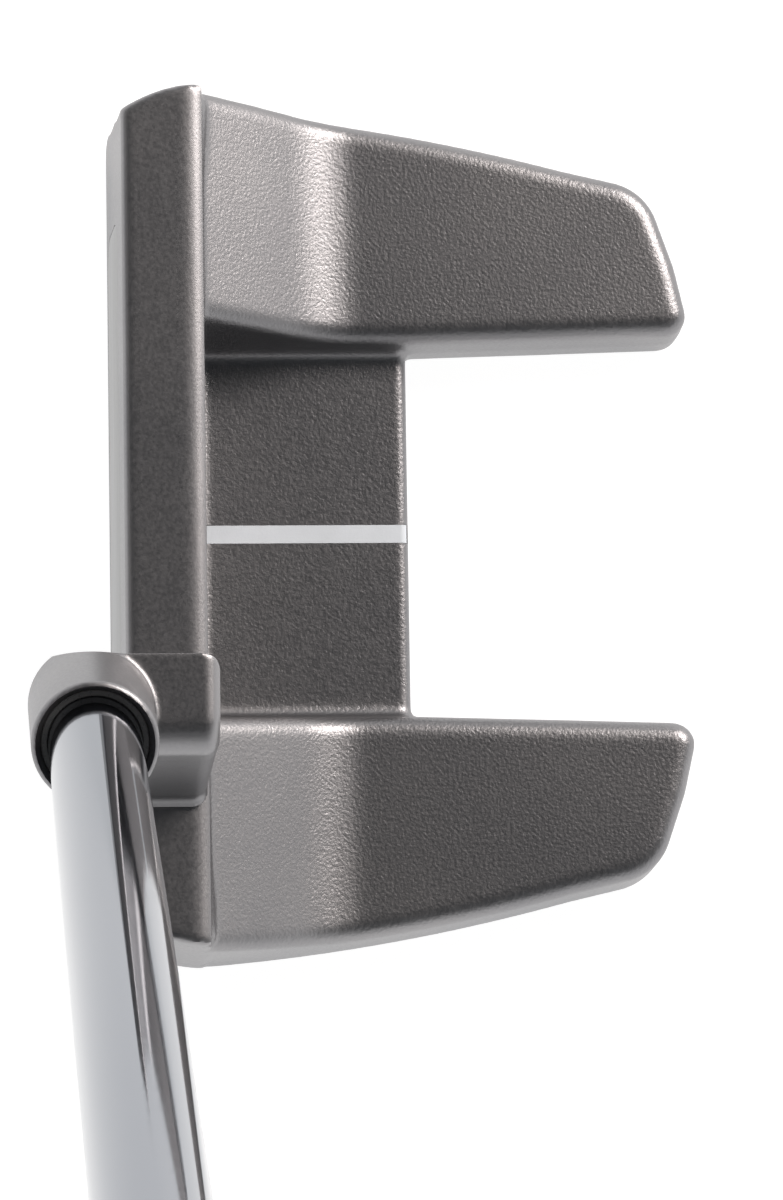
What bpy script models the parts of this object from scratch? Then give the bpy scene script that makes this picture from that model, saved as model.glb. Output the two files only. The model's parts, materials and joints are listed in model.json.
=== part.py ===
"""A mallet putter: cast head with two rear fangs, plumber's neck, steel shaft and grip.

Frame, in metres: the origin is on the sole, under the middle of the head.
+X points to the heel (towards the golfer), +Y to the back of the head, +Z up.
The putter stands at address, so its shaft leans 20 degrees towards +X.
"""

import math

import bmesh
import bpy
from mathutils import Matrix, Vector

GAP = 0.0003                    # clearance between pieces that touch
FINE_GAP = 0.0001               # clearance round bonded fillings and films

# Blade
BLADE_HEIGHT = 0.0250
BLADE_BACK = -0.0164            # y of the blade's rear wall
FACE_TOP = -0.0252              # y of the face at the topline
FACE_LOFT = math.radians(2.5)
TOPLINE_HALF_BACK = 0.0467      # half length along the rear edge of the topline
TOPLINE_HALF_FRONT = 0.0439
END_FLARE = 0.0012              # how much further the ends reach at the sole
TOE_SOLE_RADIUS = 0.0050        # rounding of the face's lower corners
SOLE_RADIUS = 0.0026
FRONT_EDGE_RADIUS = 0.0006      # topline's edge over the face
REAR_EDGE_RADIUS = 0.0018       # topline's edge over the rear wall

# Fangs
FANG_ROOT_HEIGHT = 0.0200       # height where a fang leaves the blade
FANG_HEIGHT = 0.0103            # height of its flat rear part
FANG_DIP_START = -0.0060        # y where the slope begins to level out
FANG_DIP_END = 0.0005           # y where the flat rear part begins
FANG_OUTER = 0.0470             # half width at the blade's rear wall
FANG_TAPER = 0.070              # narrowing of the outer edge per metre, at the blade
FANG_BOW = 2.4                  # bow of the outer edge, per metre squared
FANG_INNER = 0.0203             # half width of the gap between the fangs
FANG_SPLAY = 0.030              # opening of the gap behind the flange
FANG_DRAFT = math.tan(math.radians(6.0))
FANG_OUTER_DRAFT = math.tan(math.radians(3.0))
FANG_OUTER_CORNER = (0.0380, 0.0338)
FANG_INNER_CORNER = (0.0213, 0.0386)
FANG_OUTER_RADIUS = 0.0065
FANG_INNER_RADIUS = 0.0025
FANG_REAR_BOW = 0.0003
FANG_CROWN = 0.0014
FANG_SOLE_ROUND = 0.0015
FANG_DRAFT_START = 0.0053       # height where the inner walls begin to lean back

# Flange between the fangs
FLOOR_HEIGHT = 0.0060
FLANGE_END = 0.0068
FLANGE_ROUND = 0.0009
LINE_WIDTH = 0.0020
LINE_DEPTH = 0.0008

# Face insert, in the plane of the face
INSERT_LENGTH = 0.0660
INSERT_WIDTH = 0.0144
INSERT_THICKNESS = 0.0030
INSERT_CENTRE = 0.0112          # height up the face
INSERT_CORNER = 0.0040
BOND_THICKNESS = 0.0003
BOND_MARGIN = 0.0010

# Sole plate and its screws
PLATE_LENGTH = 0.0370
PLATE_WIDTH = 0.0180
PLATE_Y = -0.0045
PLATE_THICKNESS = 0.0012
PLATE_CORNER = 0.0025
PLATE_LEDGE = 0.0032
POCKET_DEPTH = 0.0042
PLATE_SCREW_X = 0.0166
PLATE_SCREW_HEAD = 0.0010
PLATE_SCREW_SHANK = 0.0006
PLATE_SCREW_END = 0.0040

# Sole weights
WEIGHT_X = 0.0312
WEIGHT_Y = 0.0205
WEIGHT_HEAD_RADIUS = 0.0060
WEIGHT_HEAD_BOTTOM = 0.0003
WEIGHT_HEAD_TOP = 0.0014
WEIGHT_SHANK_RADIUS = 0.0040   # M8 fine thread, drawn plain
WEIGHT_TOP = 0.0066
WEIGHT_KEY_RADIUS = 0.0022
WEIGHT_KEY_DEPTH = 0.0032
RING_THICKNESS = 0.0006

# Neck
POST_TOE = 0.0197
POST_HEEL = 0.0293
POST_FRONT = -0.0250
POST_BACK = -0.0167
POST_CORNER = 0.0015
POST_FOOT_FLARE = 0.0018
POST_SPREAD = 0.0018            # how much wider the post is at its foot
ARM_TOP = 0.0570
ARM_BOTTOM = 0.0475
ARM_TOE = 0.0194
ARM_BEVEL = 0.0012
TRIM_X = (0.0, ARM_TOE)         # the neck is machined flat on its toe side within this block
TRIM_Y = (-0.0450, -0.0100)
TRIM_Z = (0.0300, 0.0800)
TENON_LENGTH = 0.0070
TENON_WIDTH = 0.0050
TENON_DEPTH = 0.0047
SOCKET_RADIUS = 0.0064

# Shaft axis: it meets the ground at this point and leans towards the heel
LIE_TILT = math.radians(20.0)
SHAFT_GROUND = Vector((0.00493, -0.02982, 0.0))
RIM = 0.0734                    # distances up the axis from the ground
SOCKET_END = 0.0530
BORE_END = 0.0582
BORE_RADIUS = 0.00505
CHAMFER_RADIUS = 0.0060
CHAMFER_DEPTH = 0.0016
SHAFT_TIP = 0.0587
SHAFT_BUTT = 0.8700
TIP_RADIUS = 0.0047
BUTT_RADIUS = 0.0076
SHAFT_WALL = 0.0005
STEP_COUNT = 9
FIRST_STEP = 0.3000
LAST_STEP = 0.5720
STEP_SLOPE = 0.0020
PLUG_LENGTH = 0.0100
EPOXY_TOP = 0.0706
COLLAR_TOP = 0.0724

# Grip
GRIP_MOUTH = 0.6090
GRIP_END = 0.8735
MOUTH_RING_LENGTH = 0.0060
FLAT_DEPTH = 0.0098             # from the axis to the flat under the thumbs
TAPE_THICKNESS = 0.0003
CAP_RADIUS = 0.0105
CAP_THICKNESS = 0.0022
VENT_RADIUS = 0.0010

ROUND_SIDES = 32
STEEL_DARK = (0.115, 0.108, 0.108, 1.0)
SHAFT_FRAME = Matrix.Translation(SHAFT_GROUND) @ Matrix.Rotation(LIE_TILT, 4, "Y")


def clear_scene():
    for obj in list(bpy.data.objects):
        bpy.data.objects.remove(obj, do_unlink=True)


def material(name, colour, roughness, metallic):
    made = bpy.data.materials.new(name)
    made.use_nodes = True
    shader = made.node_tree.nodes["Principled BSDF"]
    shader.inputs["Base Color"].default_value = colour
    shader.inputs["Roughness"].default_value = roughness
    shader.inputs["Metallic"].default_value = metallic
    return made


def loft(loops, wrap=False, caps=True):
    """Skin closed loops of equal length; wrap joins the last loop to the first."""
    bm = bmesh.new()
    rings = [[bm.verts.new(point) for point in loop] for loop in loops]
    following = rings[1:] + rings[:1] if wrap else rings[1:]
    for lower, upper in zip(rings, following):
        for i in range(len(lower)):
            j = (i + 1) % len(lower)
            bm.faces.new((lower[i], lower[j], upper[j], upper[i]))
    if caps and not wrap:
        bm.faces.new(rings[0])
        bm.faces.new(rings[-1])
    return bm, rings


def place(name, bm, look, frame=None, parent=None):
    """Turn a bmesh into a named object with outward faces and smooth round sides."""
    bmesh.ops.recalc_face_normals(bm, faces=bm.faces)
    mesh = bpy.data.meshes.new(name)
    bm.to_mesh(mesh)
    bm.free()
    mesh.shade_smooth()
    mesh.set_sharp_from_angle(angle=math.radians(35.0))
    if look:
        mesh.materials.append(look)
    obj = bpy.data.objects.new(name, mesh)
    bpy.context.collection.objects.link(obj)
    obj.parent = parent
    obj.matrix_local = frame if frame else Matrix.Identity(4)
    return obj


def combine(target, tool, operation):
    """Add a Boolean to the target and leave the tool out of the finished model."""
    tool.hide_render = True
    tool.display_type = "WIRE"
    modifier = target.modifiers.new(tool.name, "BOOLEAN")
    modifier.operation = operation
    modifier.solver = "EXACT"
    modifier.object = tool


def circle(radius, height, sides=ROUND_SIDES):
    angles = [2.0 * math.pi * i / sides for i in range(sides)]
    return [Vector((radius * math.cos(a), radius * math.sin(a), height)) for a in angles]


def turned(profile, sides=ROUND_SIDES, hollow=False):
    """Turn (radius, height) points about Z; a hollow profile closes on itself."""
    return loft([circle(r, h, sides) for r, h in profile], wrap=hollow)[0]


def rounded_rectangle(x_range, y_range, radius, height, steps=3):
    """A level rectangle with round corners, anticlockwise from its +X +Y corner."""
    corners = [
        (x_range[1] - radius, y_range[1] - radius, 0),
        (x_range[0] + radius, y_range[1] - radius, 1),
        (x_range[0] + radius, y_range[0] + radius, 2),
        (x_range[1] - radius, y_range[0] + radius, 3),
    ]
    points = []
    for x, y, quarter in corners:
        for i in range(steps + 1):
            angle = (quarter + i / steps) * math.pi / 2.0
            points.append(Vector((x + radius * math.cos(angle), y + radius * math.sin(angle), height)))
    return points


def slab(x_range, y_range, z_range, radius, steps=3):
    loops = [rounded_rectangle(x_range, y_range, radius, z, steps) for z in z_range]
    return loft(loops)[0]


def round_drop(depth, radius):
    """How far a quarter round of this radius pulls in, at a depth below its flat."""
    inside = max(0.0, radius - depth)
    return radius - math.sqrt(radius * radius - inside * inside)


def corner_arc(before, corner, after, radius, steps):
    """Points of the arc that rounds a plan corner."""
    into = (Vector(before) - Vector(corner)).normalized()
    out = (Vector(after) - Vector(corner)).normalized()
    half = into.angle(out) / 2.0
    reach = radius / math.tan(half)
    centre = Vector(corner) + (into + out).normalized() * radius / math.sin(half)
    start = Vector(corner) + into * reach - centre
    end = Vector(corner) + out * reach - centre
    return [centre + start.slerp(end, i / steps).normalized() * radius for i in range(steps + 1)]


# Head -----------------------------------------------------------------------------------


def face_y(height):
    """y of the lofted face at a height over the sole."""
    return FACE_TOP - (BLADE_HEIGHT - height) * math.tan(FACE_LOFT)


def blade_loop(height, inset, rear_inset=0.0):
    """Plan outline of the blade at one height; the ends curve in towards the face."""
    front = face_y(height) + inset
    span = BLADE_BACK - rear_inset - front
    end = []
    for i in range(8):
        t = i / 7.0
        y = front + span * t
        half = TOPLINE_HALF_BACK - (TOPLINE_HALF_BACK - TOPLINE_HALF_FRONT) * (1.0 - t) ** 2
        half += END_FLARE * (1.0 - height / BLADE_HEIGHT)
        half -= round_drop(height, TOE_SOLE_RADIUS) * (1.0 - 0.75 * t) + inset * 0.5
        end.append((half, y))
    toe_side = [Vector((-x, y, height)) for x, y in reversed(end)]
    return toe_side + [Vector((x, y, height)) for x, y in end]


def blade():
    levels = [SOLE_RADIUS * (1.0 - math.cos(math.pi * i / 6.0)) for i in range(4)]
    levels += [0.0036, 0.0050, 0.0120]
    loops = [blade_loop(z, round_drop(z, SOLE_RADIUS)) for z in levels]
    for i in range(7):
        depth = REAR_EDGE_RADIUS * (1.0 - math.sin(math.pi * i / 12.0))
        front = round_drop(depth, FRONT_EDGE_RADIUS)
        rear = round_drop(depth, REAR_EDGE_RADIUS)
        loops.append(blade_loop(BLADE_HEIGHT - depth, front, rear))
    return loft(loops)[0]


def fang_top(y):
    """Height of a fang's upper surface: a straight slope off the blade that levels out in an arc."""
    arc = FANG_DIP_END - FANG_DIP_START
    slope = (FANG_ROOT_HEIGHT - FANG_HEIGHT) / (FANG_DIP_START - BLADE_BACK + arc / 2.0)
    if y >= FANG_DIP_END:
        return FANG_HEIGHT
    if y >= FANG_DIP_START:
        return FANG_HEIGHT + slope * (FANG_DIP_END - y) ** 2 / (2.0 * arc)
    return FANG_HEIGHT + slope * (arc / 2.0 + FANG_DIP_START - y)


def fang_outer_x(y):
    run = y - BLADE_BACK
    return FANG_OUTER - FANG_TAPER * run - FANG_BOW * run * run


def fang_inner_x(y):
    return FANG_INNER + FANG_SPLAY * max(0.0, y - FLANGE_END)


def fang_chains():
    """The outer and inner edges in plan, front to rear, ending at the rear edge's middle."""
    tuck = BLADE_BACK - 0.0020
    dip = [BLADE_BACK - 0.0005 + 0.0015 * i for i in range(13)]
    stations = dip + [0.0060, 0.0120, 0.0180, 0.0240]
    outer = [Vector((FANG_OUTER - 0.0030, tuck))]
    outer += [Vector((fang_outer_x(y), y)) for y in stations]
    outer += corner_arc(outer[-1], FANG_OUTER_CORNER, FANG_INNER_CORNER, FANG_OUTER_RADIUS, 5)
    inner = [Vector((FANG_INNER, tuck))]
    inner += [Vector((fang_inner_x(y), y)) for y in stations]
    inner += corner_arc(inner[-1], FANG_INNER_CORNER, FANG_OUTER_CORNER, FANG_INNER_RADIUS, 5)
    middle = (outer[-1] + inner[-1]) / 2.0 + Vector((0.0, FANG_REAR_BOW))
    return outer, inner, middle


def outward(loop, index):
    """Unit normal of a plan outline that runs anticlockwise."""
    along = loop[(index + 1) % len(loop)] - loop[index - 1]
    return Vector((along.y, -along.x)).normalized()


def fang():
    """The heel-side fang, as rings of its outline from the sole to the crowned top."""
    outer, inner, middle = fang_chains()
    plan = outer + [middle] + list(reversed(inner))
    normals = [outward(plan, i) for i in range(len(plan))]

    def ring(inset, height_of):
        points = []
        for point, normal in zip(plan, normals):
            z = height_of(point.y)
            lean = FANG_DRAFT * max(0.0, z - FANG_DRAFT_START) * max(0.0, -normal.x)
            lean -= FANG_OUTER_DRAFT * max(0.0, FANG_HEIGHT - z) * max(0.0, normal.x)
            moved = point - normal * (inset + lean)
            points.append(Vector((moved.x, moved.y, z)))
        return points

    loops = []
    for i in range(3):
        angle = math.pi * i / 4.0
        z = FANG_SOLE_ROUND * (1.0 - math.cos(angle))
        loops.append(ring(FANG_SOLE_ROUND * (1.0 - math.sin(angle)), lambda y, z=z: z))
    loops.append(ring(0.0, lambda y: FANG_DRAFT_START))
    for i in range(4):
        angle = math.pi * i / 6.0
        drop = FANG_CROWN * (1.0 - math.sin(angle))
        pull = FANG_CROWN * (1.0 - math.cos(angle))
        loops.append(ring(pull, lambda y, drop=drop: fang_top(y) - drop))
    bm, rings = loft(loops, caps=False)
    bm.faces.new(rings[0])
    top = rings[-1]
    for i in range(len(outer)):
        left, right = i, len(top) - 1 - i
        if right - left > 2:
            bm.faces.new((top[left], top[left + 1], top[right - 1], top[right]))
        else:
            bm.faces.new((top[left], top[left + 1], top[right]))
    return bm


def mirrored(bm):
    bmesh.ops.scale(bm, vec=(-1.0, 1.0, 1.0), verts=bm.verts)
    return bm


def flange():
    """The low floor between the fangs, extruded across from its side profile."""
    front = BLADE_BACK - 0.0012
    profile = [(front, 0.0), (FLANGE_END - FLANGE_ROUND, 0.0), (FLANGE_END, FLANGE_ROUND)]
    for i in range(4):
        angle = math.pi * i / 6.0
        y = FLANGE_END - FLANGE_ROUND * (1.0 - math.cos(angle))
        profile.append((y, FLOOR_HEIGHT - FLANGE_ROUND * (1.0 - math.sin(angle))))
    profile.append((front, FLOOR_HEIGHT))
    reach = FANG_INNER + 0.0020
    return loft([[Vector((x, y, z)) for y, z in profile] for x in (-reach, reach)])[0]


def face_frame():
    """Local frame of the face: X to the heel, Y up the face, Z out of it."""
    up = Vector((0.0, math.sin(FACE_LOFT), math.cos(FACE_LOFT)))
    out = Vector((0.0, -math.cos(FACE_LOFT), math.sin(FACE_LOFT)))
    frame = Matrix((Vector((1.0, 0.0, 0.0)), up, out)).transposed().to_4x4()
    frame.translation = Vector((0.0, face_y(INSERT_CENTRE), INSERT_CENTRE))
    return frame


def insert_slab(grow, z_range):
    half_x = INSERT_LENGTH / 2.0 + grow
    half_y = INSERT_WIDTH / 2.0 + grow
    return slab((-half_x, half_x), (-half_y, half_y), z_range, INSERT_CORNER + grow, 4)


def plate_slab(grow, z_range):
    half_x = PLATE_LENGTH / 2.0 + grow
    half_y = PLATE_WIDTH / 2.0 + grow
    y_range = (PLATE_Y - half_y, PLATE_Y + half_y)
    return slab((-half_x, half_x), y_range, z_range, PLATE_CORNER, 3)


def weight_pocket():
    head = WEIGHT_HEAD_RADIUS + GAP
    shank = WEIGHT_SHANK_RADIUS + GAP
    step = WEIGHT_HEAD_TOP + RING_THICKNESS + 2.0 * GAP
    top = WEIGHT_TOP + GAP
    return turned([(head, -0.0010), (head, step), (shank, step), (shank, top)])


def head_body(look):
    body = place("head_body", blade(), look)
    combine(body, place("fang_heel_tool", fang(), look), "UNION")
    combine(body, place("fang_toe_tool", mirrored(fang()), look), "UNION")
    combine(body, place("flange_tool", flange(), look), "UNION")
    depth = INSERT_THICKNESS + BOND_THICKNESS + 2.0 * GAP
    face_cut = insert_slab(GAP, (-depth, 0.0030))
    combine(body, place("face_pocket_cutter", face_cut, look, face_frame()), "DIFFERENCE")
    plate_cut = plate_slab(GAP, (-0.0010, PLATE_THICKNESS + GAP))
    combine(body, place("plate_recess_cutter", plate_cut, look), "DIFFERENCE")
    pocket_cut = plate_slab(-PLATE_LEDGE, (-0.0010, POCKET_DEPTH))
    combine(body, place("sole_pocket_cutter", pocket_cut, look), "DIFFERENCE")
    for side, sign in (("toe", -1.0), ("heel", 1.0)):
        hole = turned([(PLATE_SCREW_SHANK + GAP, 0.0), (PLATE_SCREW_SHANK + GAP, PLATE_SCREW_END + GAP)], 16)
        at = Matrix.Translation((sign * PLATE_SCREW_X, PLATE_Y, 0.0))
        combine(body, place(f"screw_hole_{side}_cutter", hole, look, at), "DIFFERENCE")
        at = Matrix.Translation((sign * WEIGHT_X, WEIGHT_Y, 0.0))
        combine(body, place(f"weight_pocket_{side}_cutter", weight_pocket(), look, at), "DIFFERENCE")
    half = LINE_WIDTH / 2.0 + FINE_GAP
    groove = slab((-half, half), (BLADE_BACK, FLANGE_END + 0.0010), line_heights(0.0, 0.0010), 0.0001, 1)
    combine(body, place("line_groove_cutter", groove, look), "DIFFERENCE")
    tenon = slab(*tenon_ranges(GAP), (BLADE_HEIGHT - TENON_DEPTH - GAP, BLADE_HEIGHT + 0.0010), 0.0010, 3)
    combine(body, place("neck_socket_cutter", tenon, look), "DIFFERENCE")
    return body


def line_heights(lift, above):
    return (FLOOR_HEIGHT - LINE_DEPTH + lift, FLOOR_HEIGHT + above)


def alignment_line(look):
    """White filling of the groove that points along the target line."""
    half = LINE_WIDTH / 2.0
    y_range = (BLADE_BACK + FINE_GAP, FLANGE_END - FLANGE_ROUND)
    filling = slab((-half, half), y_range, line_heights(FINE_GAP, 0.0), 0.0001, 1)
    return place("alignment_line", filling, look)


def face_insert(look):
    return place("face_insert", insert_slab(0.0, (-INSERT_THICKNESS, 0.0)), look, face_frame())


def insert_bond(look):
    top = -INSERT_THICKNESS - GAP
    film = insert_slab(-BOND_MARGIN, (top - BOND_THICKNESS, top))
    return place("insert_bond", film, look, face_frame())


def sole_plate(look):
    plate = place("sole_plate", plate_slab(0.0, (0.0, PLATE_THICKNESS)), look)
    for side, sign in (("toe", -1.0), ("heel", 1.0)):
        head = PLATE_SCREW_HEAD + 0.0004
        shank = PLATE_SCREW_SHANK + GAP
        profile = [(head + 0.0003, -0.0005), (head, 0.0009), (shank, 0.0009), (shank, 0.0030)]
        at = Matrix.Translation((sign * PLATE_SCREW_X, PLATE_Y, 0.0))
        cutter = place(f"plate_hole_{side}_cutter", turned(profile, 16), look, at)
        combine(plate, cutter, "DIFFERENCE")
    return plate


def plate_screw(side, sign, look):
    """A small flat-headed screw with a round key recess."""
    profile = [
        (PLATE_SCREW_HEAD * 0.45, 0.0006),
        (PLATE_SCREW_HEAD * 0.45, 0.0001),
        (PLATE_SCREW_HEAD, 0.0001),
        (PLATE_SCREW_HEAD, 0.0005),
        (PLATE_SCREW_SHANK, 0.0007),
        (PLATE_SCREW_SHANK, PLATE_SCREW_END),
    ]
    at = Matrix.Translation((sign * PLATE_SCREW_X, PLATE_Y, 0.0))
    return place(f"sole_plate_screw_{side}", turned(profile, 16), look, at)


def sole_weight(side, sign, look):
    """A threaded plug, on an empty that stands on its screw axis."""
    axis = bpy.data.objects.new(f"{side}_weight_axis", None)
    axis.location = (sign * WEIGHT_X, WEIGHT_Y, 0.0)
    bpy.context.collection.objects.link(axis)
    profile = [
        (WEIGHT_KEY_RADIUS, WEIGHT_HEAD_BOTTOM),
        (WEIGHT_HEAD_RADIUS - 0.0004, WEIGHT_HEAD_BOTTOM),
        (WEIGHT_HEAD_RADIUS, WEIGHT_HEAD_BOTTOM + 0.0004),
        (WEIGHT_HEAD_RADIUS, WEIGHT_HEAD_TOP),
        (WEIGHT_SHANK_RADIUS, WEIGHT_HEAD_TOP),
        (WEIGHT_SHANK_RADIUS, WEIGHT_TOP - 0.0006),
        (WEIGHT_SHANK_RADIUS - 0.0006, WEIGHT_TOP),
    ]
    bm = turned(profile, 30)
    key = [f for f in bm.faces if all(v.co.z < WEIGHT_HEAD_BOTTOM + 1e-6 for v in f.verts) and len(f.verts) > 4]
    recess = bmesh.ops.extrude_discrete_faces(bm, faces=key)["faces"][0]
    bmesh.ops.translate(bm, vec=(0.0, 0.0, WEIGHT_KEY_DEPTH), verts=recess.verts)
    return place(f"{side}_weight", bm, look, parent=axis), axis


def weight_ring(side, axis, look):
    """The washer carried on the weight's shank, against the under side of its head."""
    low = WEIGHT_HEAD_TOP + GAP
    high = low + RING_THICKNESS
    inner = WEIGHT_SHANK_RADIUS + FINE_GAP
    outer = WEIGHT_HEAD_RADIUS - 0.0002
    profile = [(inner, low), (outer, low), (outer, high), (inner, high)]
    return place(f"{side}_weight_ring", turned(profile, 30, hollow=True), look, parent=axis)


# Neck -----------------------------------------------------------------------------------


def tenon_ranges(grow):
    x = (POST_TOE + POST_HEEL) / 2.0
    y = (POST_FRONT + POST_BACK) / 2.0 + 0.0002
    half_x = TENON_LENGTH / 2.0 + grow
    half_y = TENON_WIDTH / 2.0 + grow
    return (x - half_x, x + half_x), (y - half_y, y + half_y)


def post():
    """Tenon, flared foot and upright of the neck in one loft."""
    foot = BLADE_HEIGHT + GAP
    tenon_x, tenon_y = tenon_ranges(0.0)
    loops = [rounded_rectangle(tenon_x, tenon_y, 0.0007, z) for z in (BLADE_HEIGHT - TENON_DEPTH, foot)]
    back = (POST_FRONT, POST_BACK)
    for rise, flare in ((0.0, 1.0), (0.0005, 0.55), (0.0013, 0.2), (0.0026, 0.0)):
        heel = POST_HEEL + POST_SPREAD + POST_FOOT_FLARE * flare
        toe = POST_TOE - 0.0006 * flare
        loops.append(rounded_rectangle((toe, heel), back, POST_CORNER, foot + rise))
    loops.append(rounded_rectangle((POST_TOE, POST_HEEL), back, POST_CORNER, ARM_TOP - POST_CORNER))
    for lift, pull in ((0.6, 0.2), (1.0, 1.0)):
        x_range = (POST_TOE + POST_CORNER * pull * 0.6, POST_HEEL - POST_CORNER * pull * 0.6)
        y_range = (POST_FRONT, POST_BACK - POST_CORNER * pull * 0.6)
        z = ARM_TOP - POST_CORNER + POST_CORNER * lift
        loops.append(rounded_rectangle(x_range, y_range, POST_CORNER, z))
    return loft(loops)[0]


def arm():
    """The forward bridge from the post to the socket."""
    front = SHAFT_GROUND.y
    y_range = (front, POST_BACK - 0.0030)
    loops = []
    for z, pull in (
        (ARM_BOTTOM, ARM_BEVEL),
        (ARM_BOTTOM + ARM_BEVEL, 0.0),
        (ARM_TOP - ARM_BEVEL, 0.0),
        (ARM_TOP - FINE_GAP, ARM_BEVEL),
    ):
        x_range = (ARM_TOE + pull, POST_HEEL + 0.0003 - pull)
        loops.append(rounded_rectangle(x_range, y_range, POST_CORNER, z))
    return loft(loops)[0]


def hosel_neck(look):
    neck = place("hosel_neck", post(), look)
    combine(neck, place("arm_tool", arm(), look), "UNION")
    edge = 0.0004
    socket = [
        (SOCKET_RADIUS - 0.0030, SOCKET_END),
        (SOCKET_RADIUS - 0.0009, SOCKET_END + 0.0009),
        (SOCKET_RADIUS, SOCKET_END + 0.0030),
        (SOCKET_RADIUS, RIM - edge),
        (SOCKET_RADIUS - edge, RIM),
    ]
    combine(neck, place("socket_tool", turned(socket), look, SHAFT_FRAME), "UNION")
    trim = slab(TRIM_X, TRIM_Y, TRIM_Z, ARM_BEVEL, 1)
    combine(neck, place("toe_trim_cutter", trim, look), "DIFFERENCE")
    bore = [
        (BORE_RADIUS, BORE_END),
        (BORE_RADIUS, RIM - CHAMFER_DEPTH),
        (CHAMFER_RADIUS, RIM),
        (CHAMFER_RADIUS, RIM + 0.0010),
    ]
    combine(neck, place("bore_cutter", turned(bore), look, SHAFT_FRAME), "DIFFERENCE")
    return neck


# Shaft ----------------------------------------------------------------------------------


def shaft_outline():
    """(radius, distance) down the stepped outside of the shaft, tip to butt."""
    points = [(TIP_RADIUS, SHAFT_TIP)]
    for i in range(STEP_COUNT):
        at = FIRST_STEP + (LAST_STEP - FIRST_STEP) * i / (STEP_COUNT - 1)
        below = TIP_RADIUS + (BUTT_RADIUS - TIP_RADIUS) * i / STEP_COUNT
        above = TIP_RADIUS + (BUTT_RADIUS - TIP_RADIUS) * (i + 1) / STEP_COUNT
        points += [(below, at), (above, at + STEP_SLOPE)]
    points.append((BUTT_RADIUS, SHAFT_BUTT))
    return points


def shaft(look):
    outside = shaft_outline()
    inside = [(radius - SHAFT_WALL, at) for radius, at in reversed(outside)]
    return place("shaft", turned(outside + inside, hollow=True), look, SHAFT_FRAME)


def shaft_tip_plug(look):
    radius = TIP_RADIUS - SHAFT_WALL - FINE_GAP
    low = SHAFT_TIP + 0.0010
    profile = [(radius - 0.0005, low), (radius, low + 0.0005), (radius, low + PLUG_LENGTH)]
    return place("shaft_tip_plug", turned(profile, 24), look, SHAFT_FRAME)


def hosel_epoxy(look):
    inner = TIP_RADIUS + FINE_GAP
    outer = BORE_RADIUS - FINE_GAP
    low = BORE_END + GAP
    profile = [(inner, low), (outer, low), (outer, EPOXY_TOP), (inner, EPOXY_TOP)]
    return place("hosel_epoxy", turned(profile, hollow=True), look, SHAFT_FRAME)


def shaft_collar(look):
    """Dark ring that closes the countersink round the shaft."""
    inner = TIP_RADIUS + FINE_GAP
    slope = (CHAMFER_RADIUS - BORE_RADIUS) / CHAMFER_DEPTH
    low = EPOXY_TOP + GAP
    foot = RIM - CHAMFER_DEPTH
    edge = BORE_RADIUS - FINE_GAP
    brim = edge + slope * (COLLAR_TOP - foot)
    profile = [(inner, low), (edge, low), (edge, foot), (brim, COLLAR_TOP), (inner, COLLAR_TOP)]
    return place("shaft_collar", turned(profile, hollow=True), look, SHAFT_FRAME)


# Grip -----------------------------------------------------------------------------------


def grip_loop(at, grow=0.0):
    """D-shaped section; its flat faces -X of the shaft frame, under the thumbs."""
    share = (at - GRIP_MOUTH) / (GRIP_END - GRIP_MOUTH)
    side = 0.0103 + 0.0024 * share + 0.0007 * math.sin(math.pi * share)
    back = 0.0104 + 0.0050 * share ** 2 - 0.0010 * math.sin(math.pi * share)
    front = 0.0122 + 0.0012 * share
    points = []
    for i in range(ROUND_SIDES):
        angle = 2.0 * math.pi * i / ROUND_SIDES
        across, along = math.sin(angle), math.cos(angle)
        depth = back if along > 0.0 else front
        x = max((depth + grow) * along, -FLAT_DEPTH - grow)
        points.append(Vector((x, (side + grow) * across, at)))
    return points


def grip_bore():
    return BUTT_RADIUS + TAPE_THICKNESS + 2.0 * FINE_GAP


def grip_skin(look):
    stations = 14
    low = GRIP_MOUTH + MOUTH_RING_LENGTH + GAP
    loops = [circle(grip_bore(), low), grip_loop(low, -0.0006)]
    for i in range(stations + 1):
        at = low + 0.0008 + (GRIP_END - 0.0016 - low - 0.0008) * i / stations
        loops.append(grip_loop(at))
    loops.append(grip_loop(GRIP_END, -0.0016))
    recess = GRIP_END - CAP_THICKNESS - GAP
    loops.append(circle(CAP_RADIUS + GAP, GRIP_END))
    loops.append(circle(CAP_RADIUS + GAP, recess))
    loops.append(circle(grip_bore(), recess))
    return place("grip_skin", loft(loops, wrap=True)[0], look, SHAFT_FRAME)


def grip_mouth_ring(look):
    """Tapered end of the grip at its mouth."""
    high = GRIP_MOUTH + MOUTH_RING_LENGTH
    inner = grip_bore()
    loops = [
        circle(inner, GRIP_MOUTH),
        circle(inner + 0.0010, GRIP_MOUTH),
        grip_loop(GRIP_MOUTH + 0.0022, -0.0006),
        grip_loop(high, 0.0),
        circle(inner, high),
    ]
    return place("grip_mouth_ring", loft(loops, wrap=True)[0], look, SHAFT_FRAME)


def grip_tape(look):
    inner = BUTT_RADIUS + FINE_GAP
    outer = inner + TAPE_THICKNESS
    low = GRIP_MOUTH + 0.0020
    high = SHAFT_BUTT - 0.0010
    profile = [(inner, low), (outer, low), (outer, high), (inner, high)]
    return place("grip_tape", turned(profile, hollow=True), look, SHAFT_FRAME)


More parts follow.
